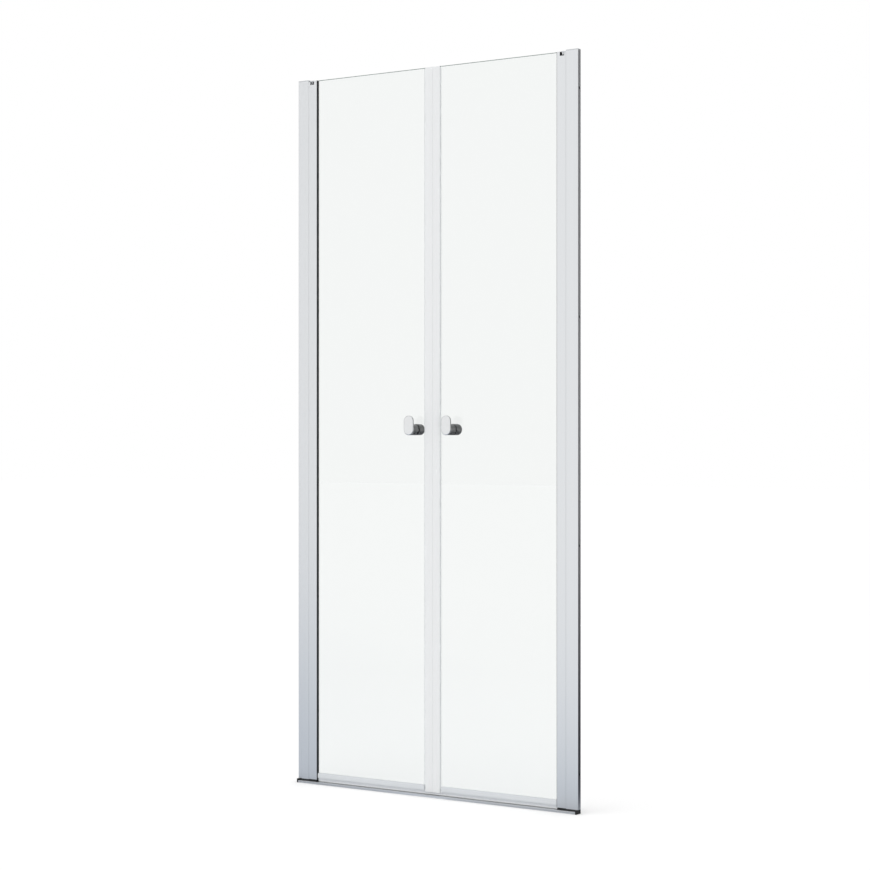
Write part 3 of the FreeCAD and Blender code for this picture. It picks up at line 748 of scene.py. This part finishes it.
# Edge of float glass after grinding and polishing: greenish grey and slightly hazy, with fine
# marks of the wheel about 2 mm apart.
glass_edge = patterned("ground_glass_edge", 2.0, ("#5F706B", "#74857F"), (0.25, 0.4), IOR=1.52,
                       Transmission_Weight=0.25)
for side, hand, word in SIDES:
    pane_low, pane_high = box_mm(f"glass_{hand}")
    pane_outline = rectangle(pane_low.x, pane_low.z, pane_high.x, pane_high.z, PANE_CORNER)
    pane_hole = [(side * KNOB_FROM_MIDDLE + GLASS_HOLE * cos(radians(t)),
                  KNOB_HEIGHT + GLASS_HOLE * sin(radians(t))) for t in range(0, 360, 10)]
    pane_mesh = extruded([pane_outline, pane_hole], -GLASS_HALF, GLASS_HALF, "Y", GLASS_ARRIS)
    pane = place(f"{word}_glass", pane_mesh, clear_glass, f"{word}_leaf", "clear_glass",
                 f"glass_{hand}")
    # Clear glass lets light through to what is behind it, so it neither shades nor tints that
    pane.visible_shadow = False
    pane.visible_diffuse = False
    pane_mesh.materials.append(glass_edge)
    for face in pane_mesh.polygons:
        face.material_index = 0 if abs(face.normal.y) > PANE_FACE else 1


# Closing seals and magnets
# Extruded soft PVC strips pushed on the free edges of the glass. Two tapering legs grip the pane,
# a long one with a clear tip in front and a short one behind, and a chamber in the milky head
# holds a magnet strip that pulls the leaves together.

CLOSING_FACE = 0.1
CLOSING_HEAD = 12.8
CLOSING_HEAD_HALF = 5.5
CLOSING_BACK = 26.8
CLOSING_LIP_HALF = 3.9
CLOSING_FACE_EDGE, CLOSING_HEAD_EDGE, CLOSING_LEG_EDGE = 0.4, 1.0, 0.3
CLEAR_TIP = 23.4
REAR_LEG = 20.0
GLASS_FREE_EDGE = 13.9
MAGNET_NEAR, MAGNET_FAR, MAGNET_ROOM = 1.5, 9.8, 4.3
MAGNET_ROOM_CORNER = 0.4


def soft_pvc(name, deep, pale, run, clear):
    """Extruded soft PVC: milky or clear, with flow lines along the length about 3 mm wide."""
    return patterned(name, 3.0, (deep, pale), (0.3, 0.42), detail=3.0, run=run, length=400.0,
                     IOR=1.4, Transmission_Weight=clear)


upright_pvc = soft_pvc("extruded_milky_pvc_upright", "#F5F7F8", "#FBFCFD", 2, 0.12)
tip_pvc = soft_pvc("extruded_clear_pvc_tip", "#F0F3F5", "#F6F8F9", 2, 0.9)
# Magnet strip of ferrite-filled rubber in a white film, with a faint mottle 4 mm across.
white_magnet = patterned("white_film_on_magnet_rubber", 4.0, ("#E6E8EA", "#F2F3F4"), IOR=1.5,
                         Roughness=0.6)
leg_taper = (CLOSING_HEAD_HALF - CLOSING_LIP_HALF) / (CLOSING_BACK - CLOSING_HEAD)
tip_half = CLOSING_LIP_HALF + leg_taper * (CLOSING_BACK - CLEAR_TIP)
rear_half = CLOSING_LIP_HALF + leg_taper * (CLOSING_BACK - REAR_LEG)
closing_outline = rounded([(CLOSING_BACK, -CLOSING_LIP_HALF, CLOSING_LEG_EDGE),
                           (CLEAR_TIP, -tip_half, 0),
                           (CLOSING_HEAD, -CLOSING_HEAD_HALF, CLOSING_HEAD_EDGE),
                           (CLOSING_FACE, -CLOSING_HEAD_HALF, CLOSING_FACE_EDGE),
                           (CLOSING_FACE, CLOSING_HEAD_HALF, CLOSING_FACE_EDGE),
                           (CLOSING_HEAD, CLOSING_HEAD_HALF, CLOSING_HEAD_EDGE),
                           (REAR_LEG, rear_half, CLOSING_LEG_EDGE), (REAR_LEG, GRIP_HALF, 0),
                           (GLASS_FREE_EDGE, GRIP_HALF, 0), (GLASS_FREE_EDGE, -GRIP_HALF, 0),
                           (CLEAR_TIP, -GRIP_HALF, 0), (CLOSING_BACK, -GRIP_HALF, 0)])
magnet_room = rectangle(MAGNET_NEAR, -MAGNET_ROOM, MAGNET_FAR, MAGNET_ROOM, MAGNET_ROOM_CORNER)
for side, hand, word in SIDES:
    seal_low, seal_high = box_mm(f"closing_seal_{hand}")
    seal_sections = [[(side * m, y) for m, y in shape] for shape in (closing_outline, magnet_room)]
    seal_mesh = extruded(seal_sections, seal_low.z, seal_high.z, "Z")
    place(f"{word}_closing_seal", seal_mesh, upright_pvc, f"{word}_leaf", "clear_seal",
          f"closing_seal_{hand}")
    seal_mesh.materials.append(tip_pvc)
    for face in seal_mesh.polygons:
        face.material_index = 1 if side * face.center.x > CLEAR_TIP * MM else 0
    dress(white_magnet, f"magnet_strip_{hand}")


# Bottom seals
# Extruded milky soft PVC strips pushed on the lower glass edges. A fin hangs down to the rail
# and goes on under the closing seal, and a second fin throws the drips back into the shower.

BOTTOM_HALF = 4.2
BOTTOM_GRIP = 9.9
BOTTOM_BRIDGE = 4.0
BOTTOM_FRONT_EDGE, BOTTOM_EDGE = 0.8, 0.5
BOTTOM_PLAY = 0.1
FIN_FRONT, FIN_BACK = 1.2, 0.4
FIN_EDGE = 0.3
DRIP_REACH, DRIP_FALL, DRIP_THICKNESS = 6.6, 3.6, 1.2
DRIP_EDGE = 0.4
TAIL_GAP = 0.2
SEAL_CUT_EDGE = 0.1

# Same milky PVC as the upright seals, drawn in a darker tone that is painted shade low down by the
# floor
level_pvc_painted_shade = soft_pvc("extruded_milky_pvc_level_painted_shade", "#E4E8EC", "#EEF1F4", 0, 0.12)
for side, hand, word in SIDES:
    fin_low, fin_high = box_mm(f"bottom_seal_{hand}")
    glass_bottom = box_mm(f"glass_{hand}")[0].z
    closing_bottom = box_mm(f"closing_seal_{hand}")[0].z
    grip_top, bridge_low = glass_bottom + BOTTOM_GRIP, glass_bottom - BOTTOM_BRIDGE
    drip_root, drip_tip = bridge_low + DRIP_THICKNESS, BOTTOM_HALF + DRIP_REACH
    grip_low = glass_bottom - BOTTOM_PLAY
    bottom_outline = rounded([(-BOTTOM_HALF, grip_top, BOTTOM_EDGE), (-GRIP_HALF, grip_top, 0),
                              (-GRIP_HALF, grip_low, 0), (GRIP_HALF, grip_low, 0),
                              (GRIP_HALF, grip_top, 0), (BOTTOM_HALF, grip_top, BOTTOM_EDGE),
                              (BOTTOM_HALF, drip_root, BOTTOM_EDGE),
                              (drip_tip, drip_root - DRIP_FALL, DRIP_EDGE),
                              (drip_tip, bridge_low - DRIP_FALL, DRIP_EDGE),
                              (BOTTOM_HALF, bridge_low, BOTTOM_EDGE),
                              (FIN_BACK, bridge_low, FIN_EDGE), (FIN_BACK, fin_low.z, FIN_EDGE),
                              (-FIN_FRONT, fin_low.z, FIN_EDGE),
                              (-FIN_FRONT, bridge_low, FIN_EDGE),
                              (-BOTTOM_HALF, bridge_low, BOTTOM_FRONT_EDGE)], 4)
    wall_end = fin_low.x if side < 0 else fin_high.x
    near, far = sorted((wall_end, side * CLOSING_BACK))
    bottom_mesh = extruded([bottom_outline], near, far, "X", SEAL_CUT_EDGE)
    tail_outline = rectangle(-FIN_FRONT, fin_low.z, FIN_BACK, closing_bottom - TAIL_GAP, FIN_EDGE)
    near, far = sorted((side * CLOSING_BACK, side * CLOSING_FACE))
    tail_mesh = extruded([tail_outline], near, far, "X", SEAL_CUT_EDGE)
    place(f"{word}_bottom_seal", joined(bottom_mesh, tail_mesh), level_pvc_painted_shade, f"{word}_leaf",
          "clear_seal", f"bottom_seal_{hand}")


# Knobs
# Turned and milled brass, polished and chrome plated: a flat tab with a round sleeve on the room
# side and a plain round knob on the shower side. A stud through the glass draws them together,
# with a black rubber washer on each face of the glass.

KNOB_RADIUS = 15.0
TAB_STRAIGHT = 22.0
TAB_FRONT, TAB_BACK = -33.0, -27.0
TAB_FRONT_EDGE, TAB_BACK_EDGE = 3.0, 0.8
SLEEVE_BACK = -4.0
SLEEVE_FRONT_EDGE, SLEEVE_BACK_EDGE = 0.2, 0.5
REAR_FRONT, REAR_BACK = 4.0, 32.0
REAR_FRONT_EDGE, REAR_BACK_EDGE = 0.1, 7.0
STUD_ROOM = 3.05
STUD_IN_REAR = 16.0
WASHER_RADIUS = 14.9
WASHER_FACE = 4.0
WASHER_EDGE, WASHER_GLASS_EDGE = 0.3, 0.22
WASHER_MEETING = 0.05
HOLE_PLAY = 0.06
KNOB_SEGMENTS = 128


def quarter(radius, edge, end, towards, steps):
    """Steps of a rounded edge that runs from the side of a turned piece to its end face."""
    angles = [radians(90 * k / steps) for k in range(steps + 1)]
    return [(radius - edge + edge * cos(t), end - towards * edge * (1 - sin(t))) for t in angles]


# Chrome on polished brass: bright and nearly sharp, with a faint orange-peel about 6 mm across
# that softens what it mirrors.
chrome = patterned("chrome_on_polished_brass", 6.0, ("#E0E2E3", "#E6E7E8"), (0.1, 0.16),
                   relief=(0.03, 0.1), Metallic=1.0)
for side, hand, word in SIDES:
    centre, body = side * KNOB_FROM_MIDDLE, f"{word}_leaf"
    tab_rings = [(STUD_ROOM, TAB_BACK), (KNOB_RADIUS - TAB_BACK_EDGE, TAB_BACK),
                 (KNOB_RADIUS, TAB_BACK - TAB_BACK_EDGE)]
    tab_rings += quarter(KNOB_RADIUS, TAB_FRONT_EDGE, TAB_FRONT, -1, 8)
    tab_mesh = turned(tab_rings, centre, KNOB_HEIGHT, stretch=TAB_STRAIGHT, segments=KNOB_SEGMENTS)
    place(f"{word}_knob_tab", tab_mesh, chrome, body, "chrome", f"knob_tab_{hand}")
    sleeve_rings = [(STUD_ROOM, TAB_BACK), (KNOB_RADIUS - SLEEVE_FRONT_EDGE, TAB_BACK),
                    (KNOB_RADIUS, TAB_BACK + SLEEVE_FRONT_EDGE),
                    (KNOB_RADIUS, SLEEVE_BACK - SLEEVE_BACK_EDGE),
                    (KNOB_RADIUS - SLEEVE_BACK_EDGE, SLEEVE_BACK), (STUD_ROOM, SLEEVE_BACK)]
    sleeve_mesh = turned(sleeve_rings, centre, KNOB_HEIGHT, closed=True, segments=KNOB_SEGMENTS)
    place(f"{word}_knob_sleeve", sleeve_mesh, chrome, body, "chrome", f"knob_sleeve_{hand}")
    rear_rings = [(STUD_ROOM, REAR_FRONT + STUD_IN_REAR), (STUD_ROOM, REAR_FRONT),
                  (KNOB_RADIUS - REAR_FRONT_EDGE, REAR_FRONT),
                  (KNOB_RADIUS, REAR_FRONT + REAR_FRONT_EDGE)]
    rear_rings += quarter(KNOB_RADIUS, REAR_BACK_EDGE, REAR_BACK, 1, 12)
    rear_mesh = turned(rear_rings, centre, KNOB_HEIGHT, segments=KNOB_SEGMENTS)
    place(f"{word}_knob_rear", rear_mesh, chrome, body, "chrome", f"knob_rear_{hand}")
    washers = []
    for face in (-1, 1):
        washer_rings = [(STUD_ROOM, WASHER_MEETING), (STUD_ROOM, WASHER_FACE),
                        (WASHER_RADIUS - WASHER_EDGE, WASHER_FACE),
                        (WASHER_RADIUS, WASHER_FACE - WASHER_EDGE),
                        (WASHER_RADIUS, GRIP_HALF + WASHER_GLASS_EDGE),
                        (WASHER_RADIUS - WASHER_EDGE, GRIP_HALF),
                        (GLASS_HOLE - HOLE_PLAY, GRIP_HALF),
                        (GLASS_HOLE - HOLE_PLAY, WASHER_MEETING)]
        washers.append(turned([(radius, face * along) for radius, along in washer_rings], centre,
                              KNOB_HEIGHT, closed=True))
    place(f"{word}_knob_washers", joined(*washers), black_rubber, body, "black_rubber",
          f"knob_washers_{hand}")
    dress(plated_steel, f"knob_stud_{hand}")


# Studio
# A plain white floor, white surroundings and one soft lamp overhead. For what the metal mirrors
# there are a dark cove behind, which goes round both sides, and a grey-blue sheet low in front,
# whose tones are painted shade of the floor near the door.

FLOOR_REACH, FLOOR_LEVEL = 30.0, -0.0005
FLOOR_LIFT_NEAR, FLOOR_LIFT_FAR, FLOOR_LIFT_END = 0.13, 0.085, 3.0
WORLD_LIGHT, WORLD_SEEN = 0.9, 1.0
LAMP_ANGLE, LAMP_ENERGY, LAMP_DIRECTION = 60, 0.45, (0.3, 0.45, -0.84)
COVE_REACH = 130
COVE_STEP = 10
COVE_CLIMB = 0.8
COVE_PROFILE = ((0.05, 0.001), (1.7, 0.001), (2.0, 0.06), (2.15, 0.2), (2.2, 0.4), (2.2, 3.4))
COVE_LOW = ("#CAD0D9", ((-103, "#C8CED7"), (-90, "#A0A4AA"), (-60, "#9A9DA3"), (-46, "#6C6F76"),
                        (-35, "#2C2E32"), (0, "#28292D"), (36, "#2A2C30"), (60, "#303236"),
                        (72, "#5C5F66"), (84, "#A0A4AA"), (110, "#C8CCD2")))
COVE_HIGH = ("#FFFFFF", ((-90, "#D2D2D2"), (-60, "#939393"), (-35, "#B0B0B0"), (0, "#787878"),
                         (26, "#4E4E4E"), (37, "#686868"), (47, "#9C9C9C"), (60, "#B6B6B6")))
SHEET_LEVEL = 0.0005
SHEET_LEFT, SHEET_RIGHT, SHEET_FRONT, SHEET_BACK = -9, 3, -8, -0.02
SHEET_SLANT, SHEET_FADE_START, SHEET_FADE_END = (0.7, -1.0, 0.0), -0.3, 3.4
SHEET_TONES = ((0.3, "#DEE3E9"), (0.55, "#F8F9FB"))
SHEET_SHADE_START, SHEET_SHADE_SHARE = -0.7, 0.4

scene = bpy.context.scene
scene.view_settings.view_transform = "Standard"


def staged(name, points, faces, material):
    """Object of the studio."""
    mesh = bpy.data.meshes.new(name)
    mesh.from_pydata(points, [], faces)
    mesh.materials.append(material)
    backdrop = linked(name, mesh)
    return backdrop


def level_corners(left, front, right, back, level):
    """Corners of a level rectangle."""
    return [(left, front, level), (right, front, level), (right, back, level), (left, back, level)]


def plain_light(tree):
    """Mask of the rays that see the white surroundings: direct, mirrored and through glass."""
    rays = add_node(tree, "ShaderNodeLightPath").outputs
    seen = add_node(tree, "ShaderNodeMath",
                    {0: rays["Is Camera Ray"], 1: rays["Is Glossy Ray"]}, operation="MAXIMUM")
    return add_node(tree, "ShaderNodeMath",
                    {0: seen.outputs[0], 1: rays["Is Transmission Ray"]}, operation="MAXIMUM")


def mirrored_only(backdrop, tree, shader):
    """Show a studio object only in reflections, also where these pass through glass."""
    backdrop.visible_camera = False
    backdrop.visible_diffuse = False
    backdrop.visible_shadow = False
    rays = add_node(tree, "ShaderNodeLightPath")
    mirrored = add_node(tree, "ShaderNodeMath", {0: rays.outputs["Glossy Depth"], 1: 0.5},
                        operation="GREATER_THAN")
    clear = add_node(tree, "ShaderNodeBsdfTransparent")
    shown = add_node(tree, "ShaderNodeMixShader",
                     {0: mirrored.outputs[0], 1: clear.outputs[0], 2: shader.outputs[0]})
    tree.links.new(shown.outputs[0], tree.nodes["Material Output"].inputs["Surface"])


# White painted board: matt, with a hardly visible mottle 333 mm across. A faint glow lifts it to
# plain white; it is stronger near the door, as painted light that fills in the door's shadow
# there.
white_floor = patterned("white_studio_floor", 1000 / 3, ("#F4F4F4", "#F5F5F5"), Roughness=0.9,
                        Specular_IOR_Level=0.0, Emission_Color=(1, 1, 1, 1))
tree = white_floor.node_tree
coordinates = add_node(tree, "ShaderNodeTexCoord")
distance = add_node(tree, "ShaderNodeVectorMath", {0: coordinates.outputs["Object"]},
                    operation="LENGTH")
lift = add_node(tree, "ShaderNodeMapRange",
                {"Value": distance.outputs["Value"], "From Max": FLOOR_LIFT_END,
                 "To Min": FLOOR_LIFT_NEAR, "To Max": FLOOR_LIFT_FAR})
glow = add_node(tree, "ShaderNodeMath",
                {0: plain_light(tree).outputs[0], 1: lift.outputs["Result"]}, operation="MULTIPLY")
tree.links.new(glow.outputs[0], tree.nodes["Principled BSDF"].inputs["Emission Strength"])
staged("floor", level_corners(-FLOOR_REACH, -FLOOR_REACH, FLOOR_REACH, FLOOR_REACH, FLOOR_LEVEL),
       [(0, 1, 2, 3)], white_floor)

world = bpy.data.worlds.new("white_surroundings")
scene.world = world
world.use_nodes = True
background = world.node_tree.nodes["Background"]
background.inputs["Color"].default_value = (1, 1, 1, 1)
level = add_node(world.node_tree, "ShaderNodeMapRange",
                 {"Value": plain_light(world.node_tree).outputs[0], "To Min": WORLD_LIGHT,
                  "To Max": WORLD_SEEN})
world.node_tree.links.new(level.outputs["Result"], background.inputs["Strength"])

lamp = bpy.data.lights.new("soft_overhead", "SUN")
lamp.angle = radians(LAMP_ANGLE)
lamp.energy = LAMP_ENERGY
lamp_holder = linked("soft_overhead", lamp)
lamp_holder.visible_glossy = False
lamp_holder.rotation_euler = Vector(LAMP_DIRECTION).to_track_quat("-Z", "Y").to_euler()

# Cloth of the cove: its tone changes with the direction and, up to the climb, with the height;
# it is darker low down, as painted shade near the floor in what the metal mirrors
dark_cloth, tree, shader = new_material("dark_studio_cloth", Roughness=1.0, Specular_IOR_Level=0.0)
coordinates = add_node(tree, "ShaderNodeTexCoord")
split = add_node(tree, "ShaderNodeSeparateXYZ", {"Vector": coordinates.outputs["Object"]})
around = add_node(tree, "ShaderNodeMath", {0: split.outputs["X"], 1: split.outputs["Y"]},
                  operation="ARCTAN2")
turn = add_node(tree, "ShaderNodeMapRange",
                {"Value": around.outputs[0], "From Min": radians(-COVE_REACH),
                 "From Max": radians(COVE_REACH)})
tones = []
for edge, stops in (COVE_LOW, COVE_HIGH):
    ramp = add_node(tree, "ShaderNodeValToRGB", {"Fac": turn.outputs["Result"]})
    for angle, colour in stops:
        stop = ramp.color_ramp.elements.new(0.5 + angle / (2 * COVE_REACH))
        stop.color = linear(colour)
    ramp.color_ramp.elements[0].color = linear(edge)
    ramp.color_ramp.elements[-1].color = linear(edge)
    tones.append(ramp.outputs["Color"])
climb = add_node(tree, "ShaderNodeMapRange", {"Value": split.outputs["Z"], "From Max": COVE_CLIMB})
tone = add_node(tree, "ShaderNodeMix", {0: climb.outputs["Result"], 6: tones[0], 7: tones[1]},
                data_type="RGBA")
tree.links.new(tone.outputs[2], shader.inputs["Base Color"])
cove_points, cove_faces = [], []
for angle in range(-COVE_REACH, COVE_REACH + 1, COVE_STEP):
    base = len(cove_points)
    for i, (reach, height) in enumerate(COVE_PROFILE):
        cove_points.append((reach * sin(radians(angle)), reach * cos(radians(angle)), height))
        if i and base:
            corner, before = base + i, base + i - len(COVE_PROFILE)
            cove_faces.append((before - 1, before, corner, corner - 1))
mirrored_only(staged("dark_cove", cove_points, cove_faces, dark_cloth), tree, shader)

# Paper of the sheet, seen only in the metal: grey-blue beside the door and paler towards the
# front, as painted shade of the floor round the door, and darker still at its foot as painted
# shadow of the door
painted_shade_paper, tree, shader = new_material("grey_blue_studio_paper_painted_shade", Roughness=1.0,
                                        Specular_IOR_Level=0.0)
coordinates = add_node(tree, "ShaderNodeTexCoord")
slant = add_node(tree, "ShaderNodeVectorMath",
                 {0: coordinates.outputs["Object"], 1: SHEET_SLANT}, operation="DOT_PRODUCT")
retreat = add_node(tree, "ShaderNodeMapRange",
                   {"Value": slant.outputs["Value"], "From Min": SHEET_FADE_START,
                    "From Max": SHEET_FADE_END})
fade = add_node(tree, "ShaderNodeValToRGB", {"Fac": retreat.outputs["Result"]})
fade.color_ramp.elements[0].color = linear("#BEC6D2")
fade.color_ramp.elements[1].color = (1, 1, 1, 1)
for position, colour in SHEET_TONES:
    fade.color_ramp.elements.new(position).color = linear(colour)
split = add_node(tree, "ShaderNodeSeparateXYZ", {"Vector": coordinates.outputs["Object"]})
shade = add_node(tree, "ShaderNodeMapRange",
                 {"Value": split.outputs["Y"], "From Min": SHEET_SHADE_START, "From Max": 0.0,
                  "To Max": SHEET_SHADE_SHARE})
tone = add_node(tree, "ShaderNodeMix",
                {0: shade.outputs["Result"], 6: fade.outputs["Color"], 7: linear("#B0B8C2")},
                data_type="RGBA")
tree.links.new(tone.outputs[2], shader.inputs["Base Color"])
low_sheet = staged("low_sheet", level_corners(SHEET_LEFT, SHEET_FRONT, SHEET_RIGHT, SHEET_BACK,
                                              SHEET_LEVEL), [(0, 1, 2, 3)], painted_shade_paper)
mirrored_only(low_sheet, tree, shader)

camera = bpy.data.cameras.new("camera")
camera.lens = 87.66
camera.sensor_width = 36.0
camera_holder = linked("camera", camera)
camera_holder.location = (3.1838, -4.6688, 0.9655)
camera_holder.rotation_euler = (radians(90), 0, radians(34.251))
scene.camera = camera_holder

bpy.context.view_layer.update()
